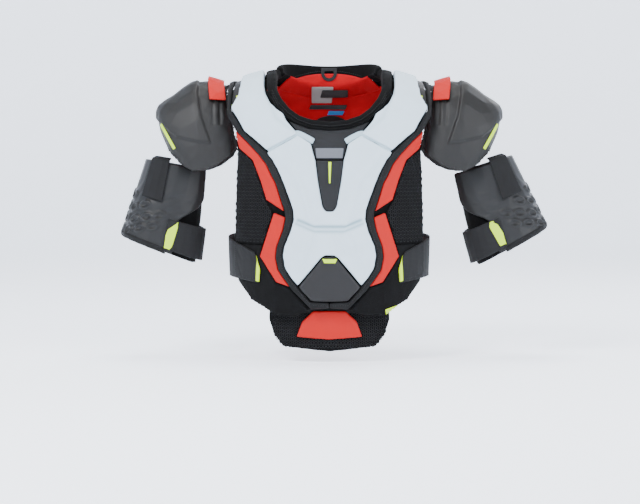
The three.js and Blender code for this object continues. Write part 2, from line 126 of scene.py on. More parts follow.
class Finish:
    """A material under construction: one Principled shader, and helpers that feed its sockets."""

    def __init__(self, name, color, roughness, **constants):
        self.material = bpy.data.materials.new(name)
        self.material.use_nodes = True
        self.tree = self.material.node_tree
        self.shader = self.tree.nodes["Principled BSDF"]
        self.material.diffuse_color = (*color, 1)
        self.set("Base Color", (*color, 1))
        self.set("Roughness", roughness)
        for socket, value in constants.items():
            self.set(socket.replace("_", " ").title().replace("Ior", "IOR"), value)
        place = self.tree.nodes.new("ShaderNodeTexCoord")
        self.object = Wave(self, place.outputs["Object"])

    def node(self, kind, settings=None, inputs=None, output=0):
        made = self.tree.nodes.new(kind)
        for key, value in (settings or {}).items():
            setattr(made, key, value)
        for key, value in (inputs or {}).items():
            if isinstance(value, Wave):
                self.tree.links.new(value.socket, made.inputs[key])
            else:
                made.inputs[key].default_value = value
        return Wave(self, made.outputs[output])

    def set(self, socket, value):
        if isinstance(value, Wave):
            self.tree.links.new(value.socket, self.shader.inputs[socket])
        else:
            self.shader.inputs[socket].default_value = value

    def noise(self, scale, detail=3.0):
        inputs = {"Vector": self.object, "Scale": scale, "Detail": detail}
        return self.node("ShaderNodeTexNoise", None, inputs)

    def ripple(self, scale, direction="X"):
        settings = {"wave_type": "BANDS", "bands_direction": direction}
        return self.node("ShaderNodeTexWave", settings, {"Vector": self.object, "Scale": scale})

    def cells(self, scale):
        return self.node("ShaderNodeTexVoronoi", None, {"Vector": self.object, "Scale": scale})

    def stored(self, name):
        return self.node("ShaderNodeAttribute", {"attribute_name": name}, None, "Fac")

    def ramp(self, value, low, high):
        return self.node("ShaderNodeMapRange", None, {"Value": value, "From Min": low, "From Max": high})

    def mix(self, factor, a, b):
        settings = {"data_type": "RGBA"}
        first, second = (c if isinstance(c, Wave) else (*c, 1) for c in (a, b))
        inputs = {0: factor, 6: first, 7: second}
        return self.node("ShaderNodeMix", settings, inputs, 2)

    def relief(self, height, strength, distance):
        inputs = {"Height": height, "Strength": strength, "Distance": distance}
        self.set("Normal", self.node("ShaderNodeBump", None, inputs))


def darker(color, share):
    return tuple(c * share for c in color)


# %% [markdown]
# ## The finishes
# Moulded foam is matt and very slightly mottled, and its grooves carry a painted shade, darker and bluer,
# read from a stored groove mask. Knit and webbing get their threads from crossed ripples, and hard caps get
# a fine leathery
# grain under a satin skin. All of them read object coordinates in metres, so that the weave has its
# real size on each piece.


# %% Foam, cloth and moulded skins
def moulded_foam(name, color, groove_shade, grain=0.5):
    made = Finish(name, color, 0.6, specular_ior_level=0.2)
    mottle = made.ramp(made.noise(38.0, 4.0), 0.35, 0.7)
    threads = made.ripple(260.0, "Z") * made.ripple(260.0, "X")
    tone = made.mix(mottle * 0.5, color, darker(color, 0.9))
    # The stored groove mask mixes in painted shade, darker and bluer, along the pressed grooves.
    made.set("Base Color", made.mix(made.stored("groove_shade"), tone, groove_shade))
    made.set("Roughness", 0.62 - mottle * 0.12)
    made.relief(threads * 0.4 + made.noise(420.0, 2.0), 0.16 * grain, 0.0006)
    return made.material


def knit(name, color, sheen=0.3, thread=520.0, depth=0.35):
    made = Finish(name, color, 0.9, sheen_weight=sheen, sheen_roughness=0.5, specular_ior_level=0.12)
    loops = made.ripple(thread, "X") * made.ripple(thread, "Z")
    wear = made.ramp(made.noise(22.0, 4.0), 0.4, 0.7)
    made.set("Base Color", made.mix(loops * 0.6 + wear * 0.3, darker(color, 0.65), darker(color, 1.35)))
    made.relief(loops + made.noise(900.0, 2.0) * 0.4, depth, 0.0008)
    return made.material


def suede(name, color):
    made = Finish(name, color, 0.95, sheen_weight=0.03, sheen_roughness=0.6, specular_ior_level=0.1)
    nap = made.noise(650.0, 5.0)
    made.set("Base Color", made.mix(made.ramp(nap, 0.35, 0.65), darker(color, 0.6), darker(color, 1.5)))
    made.relief(nap, 0.4, 0.0008)
    return made.material


def ribbed_web(name, color, rib=300.0, direction="Z"):
    made = Finish(name, color, 0.72, sheen_weight=0.02, specular_ior_level=0.2)
    ribs = made.ripple(rib, direction)
    cross = made.ripple(rib * 2.1, "X" if direction != "X" else "Z")
    made.set("Base Color", made.mix(ribs, darker(color, 0.7), darker(color, 1.4)))
    made.relief(ribs + cross * 0.4, 0.35, 0.0007)
    return made.material


def hard_skin(name, color, roughness, coat=0.04):
    made = Finish(name, color, roughness, coat_weight=coat, coat_roughness=0.5, specular_ior_level=0.28)
    grain = made.cells(900.0) + made.noise(300.0, 3.0) * 0.5
    rub = made.ramp(made.noise(14.0, 5.0), 0.45, 0.75)
    made.set("Base Color", made.mix(rub * 0.45, color, darker(color, 1.5)))
    made.set("Roughness", roughness + rub * 0.1)
    made.relief(grain, 0.12, 0.0005)
    return made.material


def flat_print(name, color, roughness=0.5):
    made = Finish(name, color, roughness, specular_ior_level=0.2)
    speck = made.noise(700.0, 2.0)
    made.set("Base Color", made.mix(speck * 0.25, color, darker(color, 0.8)))
    made.relief(speck, 0.08, 0.0004)
    return made.material


ICE = moulded_foam("ice foam", (0.47, 0.57, 0.64), (0.2, 0.3, 0.35))
RED = moulded_foam("red foam", (0.36, 0.004, 0.0015), (0.18, 0.002, 0.001), 0.8)
LINER = knit("red liner knit", (0.4, 0.0015, 0.006), 0.02, 420.0)
BLACK_KNIT = knit("black carrier knit", (0.0018, 0.0018, 0.002), 0.01)
SPACER = knit("black spacer mesh", (0.0012, 0.0012, 0.0015), 0.01, 300.0, 0.6)
SUEDE = suede("black brushed loop", (0.002, 0.002, 0.0022))
BINDING = ribbed_web("black edge binding", (0.003, 0.003, 0.0033), 420.0)
WEB = ribbed_web("black webbing", (0.004, 0.004, 0.0045), 260.0)
TAB = ribbed_web("charcoal strap tab", (0.006, 0.006, 0.0066), 150.0)
INSERT = hard_skin("black sternum insert", (0.002, 0.002, 0.0025), 0.42)
BIB = flat_print("charcoal bib", (0.01, 0.01, 0.011), 0.7)
BAND = flat_print("grey band", (0.1, 0.105, 0.12), 0.65)
BELLY = hard_skin("charcoal belly plate", (0.006, 0.0055, 0.006), 0.5, 0.02)
CAP = hard_skin("charcoal cap skin", (0.0052, 0.0048, 0.0045), 0.5)
GUARD = hard_skin("charcoal guard skin", (0.004, 0.004, 0.0042), 0.42)
LIME = flat_print("lime rubber", (0.45, 0.66, 0.004))
LABEL = flat_print("grey label", (0.2, 0.19, 0.18))
BLUE = flat_print("blue label", (0.012, 0.1, 0.28))
THREAD = flat_print("black thread", (0.012, 0.012, 0.013), 0.6)
RIM = flat_print("dark knit rim", (0.011, 0.011, 0.012), 0.7)
print("finishes:", len(bpy.data.materials))

# %% [markdown]
# ## From solid to soft piece
# Foam and cloth have no sharp corners. A voxel remesh turns a solid's few facets into an even net,
# and a few rounds of smoothing pull its edges round, as heat-pressed foam is. The net is also fine
# enough to press grooves into. The result is baked to a plain mesh, so that nothing is left for a
# modifier to do later.


# %% Softened copies of the solids
def finish_piece(obj, body, material, replaces=()):
    obj.data.materials.clear()
    obj.data.materials.append(material)
    obj.data.polygons.foreach_set("use_smooth", [True] * len(obj.data.polygons))
    if body:
        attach(obj, body)
    if replaces:
        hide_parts(*replaces)
    return obj


def new_object(name, mesh):
    obj = bpy.data.objects.new(name, mesh)
    bpy.context.scene.collection.objects.link(obj)
    return obj


def bake(obj):
    graph = bpy.context.evaluated_depsgraph_get()
    mesh = bpy.data.meshes.new_from_object(obj.evaluated_get(graph))
    obj.modifiers.clear()
    obj.data = mesh
    return obj


def copy_of(name, *nodes):
    form = bmesh.new()
    for node in nodes:
        form.from_mesh(frame["nodes"][node].data)
    bmesh.ops.remove_doubles(form, verts=form.verts, dist=0.02 * MM)
    mesh = bpy.data.meshes.new(name)
    form.to_mesh(mesh)
    form.free()
    mesh.materials.clear()
    return new_object(name, mesh)


def soften(name, nodes, voxel, rounds, swell=0.0):
    obj = copy_of(name, *nodes)
    remesh = obj.modifiers.new("net", "REMESH")
    remesh.mode = "VOXEL"
    remesh.voxel_size = voxel * MM
    relax = obj.modifiers.new("relax", "SMOOTH")
    relax.factor, relax.iterations = 0.5, rounds
    if swell:
        puff = obj.modifiers.new("puff", "DISPLACE")
        puff.strength, puff.mid_level = swell * MM, 0.0
    return bake(obj)


def line_distance(p, line):
    best = 1e9
    for a, b in zip(line, line[1:]):
        span = b - a
        t = max(0.0, min(1.0, (p - a).dot(span) / max(span.length_squared, 1e-12)))
        best = min(best, (p - a - span * t).length)
    return best


def press(obj, lines, depth, width, facing=-1, mark=1.0):
    """Presses grooves into the front or back face along lines given as x and z in millimetres."""
    mesh = obj.data
    # The stored per-point mask is painted shade along each groove, scaled by mark; the dent itself is real
    # geometry.
    layer = mesh.attributes.get("groove_shade") or mesh.attributes.new("groove_shade", "FLOAT", "POINT")
    lines = [[Vector(p) * MM for p in line] for line in lines]
    normals = [v.normal.copy() for v in mesh.vertices]
    for v, n in zip(mesh.vertices, normals):
        if n.y * facing < 0.15:
            continue
        d = min(line_distance(Vector((v.co.x, v.co.z)), line) for line in lines)
        if d > width * 3 * MM:
            continue
        f = math.exp(-((d / (width * MM)) ** 2))
        v.co -= n * depth * MM * f
        layer.data[v.index].value = max(layer.data[v.index].value, f * mark)
    mesh.update()


def both(lines):
    return lines + [[(-x, z) for x, z in line] for line in lines]


# %% [markdown]
# ## Chest and back plates
# The pale plates are one moulded run from belly to shoulder blade. Their facets are hinted by shallow
# ridges and their flex lines by grooves, which are pressed into the net after it is made.

# %% Ice-coloured plates
# Grooves pressed below also get painted shade through the stored mask, set by mark; raised ridges get none.
for node, body in [("chest_plate", "chest"), ("spine_plate", "back")]:
    plate = soften(node + "_foam", [node], 2.0, 9)
    if node == "chest_plate":
        press(plate, both([[(0, -245), (25, -245), (53, -234)]]), 3.0, 2.6)
        press(plate, both([[(0, -253), (25, -253), (56, -240)]]), 2.2, 2.6, mark=0.7)
        ridges = [[(50, -167), (28, -240)], [(28, -255), (45, -301)], [(86, -125), (50, -167)]]
        press(plate, both(ridges), -2.2, 6.0, mark=0)
    else:
        press(plate, [[(-40, z), (0, z - 12), (40, z)] for z in (-78, -136, -196, -252)], 3.4, 2.6, 1)
    finish_piece(plate, body, ICE, [node])
for side in SIDES:
    for part, body, facing in [("yoke_front", "chest", -1), ("yoke_rear", "back", 1)]:
        node = f"{part}_{side}"
        plate = soften(node + "_foam", [node], 2.0, 9)
        # The yoke line gets painted shade at a quarter strength.
        press(plate, both([[(108, -20), (90, -62), (62, -84)]]), 1.4, 4.0, facing, 0.25)
        finish_piece(plate, body, ICE, [node])


# %% [markdown]
# ## The shoulder bridge
# Chest and back plates meet over the shoulder on a soft web. The bridge fills the flex gap between
# them, and is attached to neither panel.


# %% Bridges over the shoulder
def tree_of(*objects):
    form = bmesh.new()
    for obj in objects:
        form.from_mesh(obj.data)
    tree = BVHTree.FromBMesh(form)
    form.free()
    return tree


def grid_object(name, rows):
    """A sheet from rows of points."""
    form = bmesh.new()
    net = [[form.verts.new(p) for p in row] for row in rows]
    for a, b in zip(net, net[1:]):
        for i in range(len(a) - 1):
            form.faces.new((a[i], a[i + 1], b[i + 1], b[i]))
    bmesh.ops.recalc_face_normals(form, faces=form.faces)
    mesh = bpy.data.meshes.new(name)
    form.to_mesh(mesh)
    form.free()
    return new_object(name, mesh)


def thicken(obj, thickness, offset=1.0, rounding=0.4, levels=1):
    solid = obj.modifiers.new("wall", "SOLIDIFY")
    solid.thickness, solid.offset = thickness * MM, offset
    if rounding:
        bevel = obj.modifiers.new("edge", "BEVEL")
        bevel.width, bevel.segments, bevel.limit_method = rounding * MM, 2, "ANGLE"
    if levels:
        fine = obj.modifiers.new("fine", "SUBSURF")
        fine.levels = fine.render_levels = levels
    return bake(obj)


for side, sign in SIDES.items():
    tops = tree_of(*(bpy.data.objects[f"{n}_{side}_foam"] for n in ("yoke_front", "yoke_rear")))
    rows = []
    for i in range(14):
        x = sign * (113 + 33 * i / 13) * MM
        ends = [tops.ray_cast(Vector((x, y * MM, 0.2)), Vector((0, 0, -1)))[0] for y in (-9, 9)]
        if None in ends:
            continue
        height = (ends[0].z + ends[1].z) / 2
        rows.append([Vector((x, y * MM, height + (0.8 - 0.8 * (y / 8) ** 2) * MM)) for y in range(-8, 9, 2)])
    bridge = grid_object("yoke_bridge_" + side, rows)
    if bridge.data.polygons[0].normal.z < 0:
        bridge.data.flip_normals()
    thicken(bridge, 9.0, -1.0, 1.2)
    finish_piece(bridge, None, ICE, ())
    ends = (sign * 0.13, -0.008, 0.008), (sign * 0.13, 0.008, 0.008)
    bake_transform(bridge)
    web = soften("shoulder_web_cloth_" + side, [f"shoulder_web_{side}"], 1.6, 4)
    finish_piece(web, None, WEB, [f"shoulder_web_{side}"])
    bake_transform(web)
print("plates made")

# %% [markdown]
# ## Cloth and foam layers
# The other layers differ only in their net size, softness and finish, so they are made by one loop.
# Thin layers need a fine net, because a wall thinner than two voxels would tear.

# %% Layer table
LAYERS = [
    # nodes, body, finish, slot, voxel, rounds, fill
    ("chest_carrier", "chest", BLACK_KNIT, "black", 3.2, 4, 0.7),
    ("chest_liner", "chest", LINER, "liner", 3.0, 4, 0.7),
    ("collar_front", "chest", BLACK_KNIT, "black", 2.0, 12, 0.9),
    ("sternum_insert", "chest", INSERT, "charcoal", 1.2, 6, None),
    ("neck_bib", "chest", BIB, "charcoal", 1.1, 5, None),
    ("belly_plate", "chest", BELLY, "charcoal", 1.8, 8, None),
    ("belly_pad_tab", "chest", WEB, "webbing", 1.8, 3, None),
    ("back_carrier", "back", BLACK_KNIT, "black", 3.2, 4, 0.7),
    ("back_liner", "back", LINER, "liner", 3.0, 4, 0.7),
    ("lower_back_pad", "back", SUEDE, "black", 2.0, 12, 0.8),
    ("collar_back", "back", BLACK_KNIT, "black", 1.8, 10, 0.9),
    ("belly_pad", "belly_pad", SPACER, "black", 2.0, 8, 0.7),
    ("belly_band", "belly_pad", RED, "red", 1.4, 5, 0.8),
]
for side in SIDES:
    LAYERS += [
        ("yoke_tab_" + side, "chest", BELLY, "charcoal", 1.2, 4, None),
        ("chest_binding_" + side, "chest", BINDING, "webbing", 1.5, 9, 0.6),
        ("trim_upper_" + side, "chest", RED, "red", 1.2, 6, 0.8),
        ("trim_lower_" + side, "chest", RED, "red", 1.2, 6, 0.8),
        ("side_mesh_" + side, "chest", SPACER, "black", 1.0, 2, None),
        ("side_wing_" + side, "chest", SUEDE, "black", 1.0, 2, None),
        ("scapula_pad_" + side, "back", CAP, "charcoal", 1.8, 10, 0.9),
        ("waist_tab_" + side, "waist_tab_" + side, TAB, "webbing", 1.0, 3, None),
        ("arm_tab_" + side, "arm_tab_" + side, TAB, "webbing", 1.0, 3, None),
        ("arm_strap_" + side, "arm_" + side, WEB, "webbing", 1.0, 3, None),
        ("arm_hanger_" + side, "arm_" + side, WEB, "webbing", 1.0, 3, None),
        ("arm_liner_" + side, "arm_" + side, BLACK_KNIT, "black", 2.2, 6, 0.7),
        ("cap_liner_" + side, "cap_" + side, LINER, "liner", 2.4, 6, 0.7),
        ("cap_link_" + side, "cap_" + side, RED, "red", 1.0, 4, None),
        ("strap_anchor_" + side, "arm_swivel_" + side, WEB, "webbing", 0.9, 3, None),
    ]
for node, body, material, slot, voxel, rounds, fill in LAYERS:
    piece = soften(node + "_soft", [node], voxel, rounds, 0.5 if fill else 0.2)
    finish_piece(piece, body, material, [node])
print("layers:", len(LAYERS))

# %% [markdown]
# ## Shoulder caps and arm guards
# The caps are the hard parts. A raised field with a bevelled step runs over each dome, and its corner
# points down to the front. The step is a height added by the distance to the field's edge.

# %% Caps with their raised field
FIELD = [
    (203, -104), (222, -102), (262, -93), (285, -76), (315, -50),
    (315, 40), (227, 40), (227, -18), (220, -56),
]


def inside(p, outline):
    hit = False
    for (x0, z0), (x1, z1) in zip(outline, outline[1:] + outline[:1]):
        if (z0 > p[1]) != (z1 > p[1]) and p[0] < (x1 - x0) * (p[1] - z0) / (z1 - z0) + x0:
            hit = not hit
    return hit


def smooth(t):
    t = max(0.0, min(1.0, t))
    return t * t * (3 - 2 * t)


def raise_field(obj, rise, step):
    closed = [Vector(p) for p in FIELD + FIELD[:1]]
    normals = [v.normal.copy() for v in obj.data.vertices]
    for v, n in zip(obj.data.vertices, normals):
        p = Vector((abs(v.co.x) / MM, v.co.z / MM))
        outward = n.dot((v.co - Vector((math.copysign(0.225, v.co.x), 0, -0.09))).normalized())
        if outward < 0.2:
            continue
        d = line_distance(p, closed) * (1 if inside(p, FIELD) else -1)
        v.co += n * MM * rise * (smooth((d + step) / (2 * step)) - 0.6)
    obj.data.update()


def emboss(obj, spots, half, rise, dish):
    """Raises oval rims round hollow centres. spots are (place, long direction, normal)."""
    mesh = obj.data
    normals = [v.normal.copy() for v in mesh.vertices]
    reach = max(half) * 1.9 * MM
    for place, run, normal in spots:
        side_on = normal.cross(run)
        for v in mesh.vertices:
            away = v.co - place
            if away.length > reach or normals[v.index].dot(normal) < 0.3:
                continue
            d = math.hypot(away.dot(run) / half[0], away.dot(side_on) / half[1]) / MM
            rim = math.exp(-(((d - 0.78) / 0.24) ** 2)) * rise
            v.co += normals[v.index] * MM * (rim - dish * math.exp(-((d / 0.45) ** 2)))
    mesh.update()


def round_body(tree, angles, heights, pitch, centre=Vector((0, 0, 0)), turned=None, reach=0.4):
    """Places on a body's outside, by rays cast inwards to its axis, in staggered rows."""
    spots = []
    turned = turned or Matrix.Identity(3)
    for row, z in enumerate(heights):
        for angle in angles:
            a = math.radians(angle + (pitch / 2 if row % 2 else 0))
            out = turned @ Vector((math.sin(a), -math.cos(a), 0))
            axis = centre + turned @ Vector((0, 0, z * MM))
            hit, normal = tree.ray_cast(axis + out * reach, -out)[:2]
            if hit is not None and normal.dot(out) > 0.3:
                spots.append((hit, normal, turned @ Vector((0, 0, 1))))
    return spots


JOINT_PLACES = {joint["name"]: Vector(joint["pos_m"]) for joint in frame["joints"]}
PIVOT = {side: JOINT_PLACES["arm_swing_" + side] for side in SIDES}
TILT = {"left": 18, "right": 10}
TURNED = {side: Matrix.Rotation(-sign * math.radians(TILT[side]), 3, "Y") for side, sign in SIDES.items()}


def guard_bumps(side, tree):
    """Rows of bumps that fall outwards round the guard."""
    sign, spots = SIDES[side], []
    for row in range(5):
        for column in range(8):
            angle = 4 + 22 * column + 8 * (row % 2)
            height = -58 - 20.5 * row - 7 * min(column, 2) + 3 * max(0, column - 3)
            if not -140 < height < -56:
                continue
            found = round_body(tree, [sign * angle], [height], 0, PIVOT[side], TURNED[side], 0.2)
            for hit, normal, up in found:
                across = up.cross(normal).normalized() * sign
                run = (across * 0.93 - up * 0.36).normalized()
                spots.append((hit, (run - normal * run.dot(normal)).normalized(), normal))
    return spots


for side in SIDES:
    cap = soften("cap_dome_" + side, [f"cap_shell_{side}"], 1.8, 10)
    raise_field(cap, 4.5, 2.6)
    for x in (178, 190, 202):
        press(cap, both([[(x, 12), (x - 3, -70)]]), 1.6, 3.0, -1, 0)
        press(cap, both([[(x, 12), (x - 3, -70)]]), 1.6, 3.0, 1, 0)
    finish_piece(cap, "cap_" + side, CAP, [f"cap_shell_{side}"])
    guard = soften("arm_guard_" + side, [f"arm_shell_{side}"], 1.6, 8)
    straps = tree_of(*(bpy.data.objects[f"{n}_{side}_soft"] for n in ("arm_hanger", "arm_tab")))
    bumps = guard_bumps(side, tree_of(guard))
    free = [b for b in bumps if straps.find_nearest(b[0])[3] > 13 * MM]
    emboss(guard, free, (11.5, 7.4), 2.6, 1.2)
    finish_piece(guard, "arm_" + side, GUARD, [f"arm_shell_{side}"])
print("caps and guards made")

# %% [markdown]
# ## Patches laid on a surface
# Bright marks, labels and pads are thin shapes that follow what lies under them. Each is a four-
# cornered grid, dropped onto its piece along the view from the front, then given a wall.


# %% Patches
def patch(name, corners, targets, body, material, lift=0.5, wall=0.7, facing=-1, cells=(14, 8)):
    tree = tree_of(*(bpy.data.objects[t] for t in targets))
    a, b, c, d = (Vector(p) for p in corners)
    rows = []
    for i in range(cells[0] + 1):
        u = i / cells[0]
        row = []
        for j in range(cells[1] + 1):
            v = j / cells[1]
            p = (a.lerp(b, u)).lerp(d.lerp(c, u), v) * MM
            start = Vector((p.x, facing * 0.6, p.y))
            hit, normal = tree.ray_cast(start, Vector((0, -facing, 0)))[:2]
            if hit is None:
                hit, normal = tree.find_nearest(Vector((p.x, facing * 0.1, p.y)))[:2]
            row.append(hit + normal * lift * MM)
        rows.append(row)
    obj = grid_object(name, rows)
    if obj.data.polygons[len(obj.data.polygons) // 2].normal.y * facing < 0:
        obj.data.flip_normals()
    thicken(obj, wall, 1.0, 0, 1)
    return finish_piece(obj, body, material)


def mirrored(corners, side):
    return [(SIDES[side] * x, z) for x, z in corners]


def drop(tree, x, z, facing):
    """The outermost place of a surface at x and z in millimetres, seen from the front or the back."""
    hit, normal = tree.ray_cast(Vector((x * MM, facing * 0.6, z * MM)), Vector((0, -facing, 0)))[:2]
    if hit is None:
        hit, normal = tree.find_nearest(Vector((x * MM, facing * 0.1, z * MM)))[:2]
    return hit, normal


RIBBON_STEP = 4.0


def ribbon(name, line, width, targets, body, material, lift=0.5, wall=0.7, groove_shade=None):
    """A band of even width that follows a line over a surface."""
    tree = tree_of(*(bpy.data.objects[t] for t in targets))
    rows = []
    for a, b in zip(line, line[1:]):
        a, b = Vector(a), Vector(b)
        across = Vector((a.y - b.y, b.x - a.x)).normalized() * width / 2
        count = max(1, round((b - a).length / RIBBON_STEP))
        last = b == Vector(line[-1])
        for k in range(count + (1 if last else 0)):
            middle = a.lerp(b, k / count)
            row = []
            for share in (-1, -0.5, 0, 0.5, 1):
                p = middle + across * share
                hit, normal = drop(tree, p.x, p.y, -1)
                row.append(hit + normal * lift * MM)
            rows.append(row)
    obj = grid_object(name, rows)
    if obj.data.polygons[len(obj.data.polygons) // 2].normal.y > 0:
        obj.data.flip_normals()
    thicken(obj, wall, 1.0, 0, 1)
    # A given value fills the whole band's stored mask with painted shade.
    if groove_shade is not None:
        layer = obj.data.attributes.new("groove_shade", "FLOAT", "POINT")
        layer.data.foreach_set("value", [groove_shade] * len(obj.data.vertices))
    return finish_piece(obj, body, material)


GROOVE = [(26, -103), (38, -96), (52, -89.5), (60, -92), (78, -101), (101, -117)]
NECKLINE = [(0, -83), (33, -80), (57, -71), (76, -58), (96, -39.5), (107, -17)]
welt = [(-x, z) for x, z in reversed(NECKLINE[1:])] + NECKLINE
under_welt = ["collar_front_soft", "chest_carrier_soft"]
ribbon("neck_welt", welt, 9, under_welt, "chest", BLACK_KNIT, 0.8, 3.0)
for side in SIDES:
    # Each plate groove is a band of ice foam laid in the seam between yoke and chest plate, with painted
    # shade over all of it at 0.55.
    line = mirrored(GROOVE, side)
    ribbon("plate_groove_" + side, line, 10, ["chest_carrier_soft"], "chest", ICE, 5.0, 4.5, 0.55)
CENTRE_MARKS = [
    ("bib_band", [(-24, -113), (24, -113), (22, -130), (-22, -130)], "neck_bib_soft", BAND, "grey", 0.5),
    ("belly_mark", [(-12, -299), (13, -299), (10, -306), (-9, -306)], "belly_plate_soft", LIME, "ice", 0.5),
    # The sternum entry is a painted highlight strip down the black sternum insert, in the lime finish.
    (
        "sternum_stripe", [(-2, -136), (3, -136), (1.5, -172), (-1, -172)],
        "sternum_insert_soft", LIME, "ice", 0.3,
    ),
]
for name, corners, under, material, slot, lift in CENTRE_MARKS:
    patch(name, corners, [under], "chest", material, lift)
for side in SIDES:
    corners = mirrored([(123, -293), (116, -317), (117, -341), (125, -338)], side)
    patch("waist_mark_" + side, corners, [f"waist_tab_{side}_soft"], "waist_tab_" + side, LIME)
    stripe = mirrored([(290, -71), (280, -88), (265, -114)], side)
    ribbon("cap_mark_" + side, stripe, 5.5, [f"cap_dome_{side}"], "cap_" + side, LIME, 0.4, 0.9)
    for place, corners in (
        ("upper", [(152, -22), (159, -24), (159, -27), (152, -25)]),
        ("lower", [(156, -36), (161.5, -40), (161.5, -43), (157, -39)]),
    ):
        name = f"yoke_tab_mark_{place}_{side}"
        patch(name, mirrored(corners, side), [f"yoke_tab_{side}_soft"], "chest", LIME, 0.3)
hem = ["side_wing_left_soft", "chest_carrier_soft"]
patch("hem_mark", [(94, -386), (115, -379), (115, -386), (95, -394)], hem, "chest", LIME, 1.2, 1.0)
corners = [(-257.5, -238.5), (-278, -252.3), (-288, -284.6), (-272.9, -289.7)]
patch("arm_mark_right", corners, ["arm_tab_right_soft"], "arm_tab_right", LIME)
corners = [(267.4, -233.2), (290, -243.6), (309, -274.4), (294.4, -281.7)]
patch("arm_mark_left", corners, ["arm_tab_left_soft"], "arm_tab_left", LIME)
print("patches made")

# %% [markdown]
# ## Repeated detail by Geometry Nodes
# Perforations, bumps and stitches are one small shape set down many times. The tree below takes bare
# points that carry two directions, sets a ring or a bead on each, and realises the result, because a
# plain mesh is what the finished model keeps.


# %% The scatter tree
def scatter_tree(kind):
    tree = bpy.data.node_groups.new("set down " + kind, "GeometryNodeTree")
    face = tree.interface
    face.new_socket("Geometry", in_out="INPUT", socket_type="NodeSocketGeometry")
    for name in ("Radius", "Wire", "Length"):
        face.new_socket(name, in_out="INPUT", socket_type="NodeSocketFloat")
    face.new_socket("Material", in_out="INPUT", socket_type="NodeSocketMaterial")
    face.new_socket("Geometry", in_out="OUTPUT", socket_type="NodeSocketGeometry")

    def node(kind_, settings=None, **links):
        made = tree.nodes.new(kind_)
        for key, value in (settings or {}).items():
            setattr(made, key, value)
        for key, value in links.items():
            socket = made.inputs[key.replace("_", " ")]
            if isinstance(value, bpy.types.NodeSocket):
                tree.links.new(value, socket)
            else:
                socket.default_value = value
        return made

    start = node("NodeGroupInput").outputs
    if kind == "rings":
        circle = node("GeometryNodeCurvePrimitiveCircle", Resolution=6, Radius=start["Radius"])
        wire = node("GeometryNodeCurvePrimitiveCircle", Resolution=4, Radius=start["Wire"])
        curves = {"Curve": circle.outputs["Curve"], "Profile_Curve": wire.outputs["Curve"]}
        shape = node("GeometryNodeCurveToMesh", **curves)
    else:
        shape = node("GeometryNodeMeshUVSphere", Segments=6, Rings=4, Radius=start["Radius"])
    size = node("ShaderNodeCombineXYZ", X=1.0, Y=1.0, Z=start["Length"])
    if kind == "rings":
        size = node("ShaderNodeCombineXYZ", X=start["Length"], Y=1.0, Z=1.0)
    stretched = node(
        "GeometryNodeTransform", Geometry=shape.outputs["Mesh"], Scale=size.outputs["Vector"]
    )
    aim = node("GeometryNodeInputNamedAttribute", {"data_type": "FLOAT_VECTOR"}, Name="aim")
    up = node("GeometryNodeInputNamedAttribute", {"data_type": "FLOAT_VECTOR"}, Name="up")
    turn = node("FunctionNodeAlignRotationToVector", {"axis": "Z"}, Vector=aim.outputs["Attribute"])
    roll = node(
        "FunctionNodeAlignRotationToVector",
        {"axis": "Y", "pivot_axis": "Z"},
        Rotation=turn.outputs["Rotation"],
        Vector=up.outputs["Attribute"],
    )
    points = node("GeometryNodeMeshToPoints", Mesh=start["Geometry"])
    placed = node(
        "GeometryNodeInstanceOnPoints",
        Points=points.outputs["Points"],
        Instance=stretched.outputs["Geometry"],
        Rotation=roll.outputs["Rotation"],
    )
    real = node("GeometryNodeRealizeInstances", Geometry=placed.outputs["Instances"])
    painted = node("GeometryNodeSetMaterial", Geometry=real.outputs["Geometry"], Material=start["Material"])
    node("NodeGroupOutput", Geometry=painted.outputs["Geometry"])
    return tree


RINGS, BEADS = scatter_tree("rings"), scatter_tree("beads")


def scatter(name, tree, spots, body, material, slot, **sizes):
    """spots is a list of (place, aim, up); the result is one plain mesh."""
    mesh = bpy.data.meshes.new(name)
    mesh.from_pydata([s[0] for s in spots], [], [])
    for label, k in (("aim", 1), ("up", 2)):
        layer = mesh.attributes.new(label, "FLOAT_VECTOR", "POINT")
        layer.data.foreach_set("vector", [c for s in spots for c in s[k]])
    obj = new_object(name, mesh)
    modifier = obj.modifiers.new("scatter", "NODES")
    modifier.node_group = tree
    sockets = {s.name: s.identifier for s in tree.interface.items_tree if s.in_out == "INPUT"}
    for label, value in {**sizes, "Material": material}.items():
        modifier[sockets[label]] = value
    bake(obj)
    print(name, len(spots), "set down")
    return finish_piece(obj, body, material)


# %% [markdown]
# ## Perforated side mesh
# The spacer mesh is full of six-sided holes. Rings are set in staggered rows round the body, wherever
# a ray from outside meets the panel well inside its edge, and stand a little proud, as the rims of
# the holes do.


# %% Hexagonal knit
HOLE = {"Radius": 2.9 * MM, "Wire": 0.7 * MM, "Length": 0.8}
for side, sign in SIDES.items():
    panel = tree_of(bpy.data.objects[f"side_mesh_{side}_soft"])
    covering = ("trim_upper", "trim_lower", "chest_binding")
    cover = tree_of(*(bpy.data.objects[f"{n}_{side}_soft"] for n in covering))
    rows = [-92 - 6.1 * k for k in range(30)]
    spots = round_body(panel, [sign * (38 + 2.7 * k) for k in range(19)], rows, 2.7)
    free = [s for s in spots if cover.ray_cast(s[0] + s[1] * MM, s[1])[0] is None]
    scatter("side_holes_" + side, RINGS, free, "chest", RIM, "black", **HOLE)
pad = tree_of(bpy.data.objects["belly_pad_soft"])
spots = round_body(pad, [-48 + 3.2 * k for k in range(31)], [-395 - 6.1 * k for k in range(10)], 3.2)
band = tree_of(bpy.data.objects["belly_band_soft"])
free = [s for s in spots if s[1].y < -0.2 and band.ray_cast(s[0] + s[1] * MM, s[1])[0] is None]
scatter("belly_holes", RINGS, free, "belly_pad", RIM, "black", **HOLE)

# %% [markdown]
# ## Stitches
# A row of stitches shows where two layers are held together. Points are dropped along a line every
# few millimetres, each aimed at the next, and a bead is set on each.


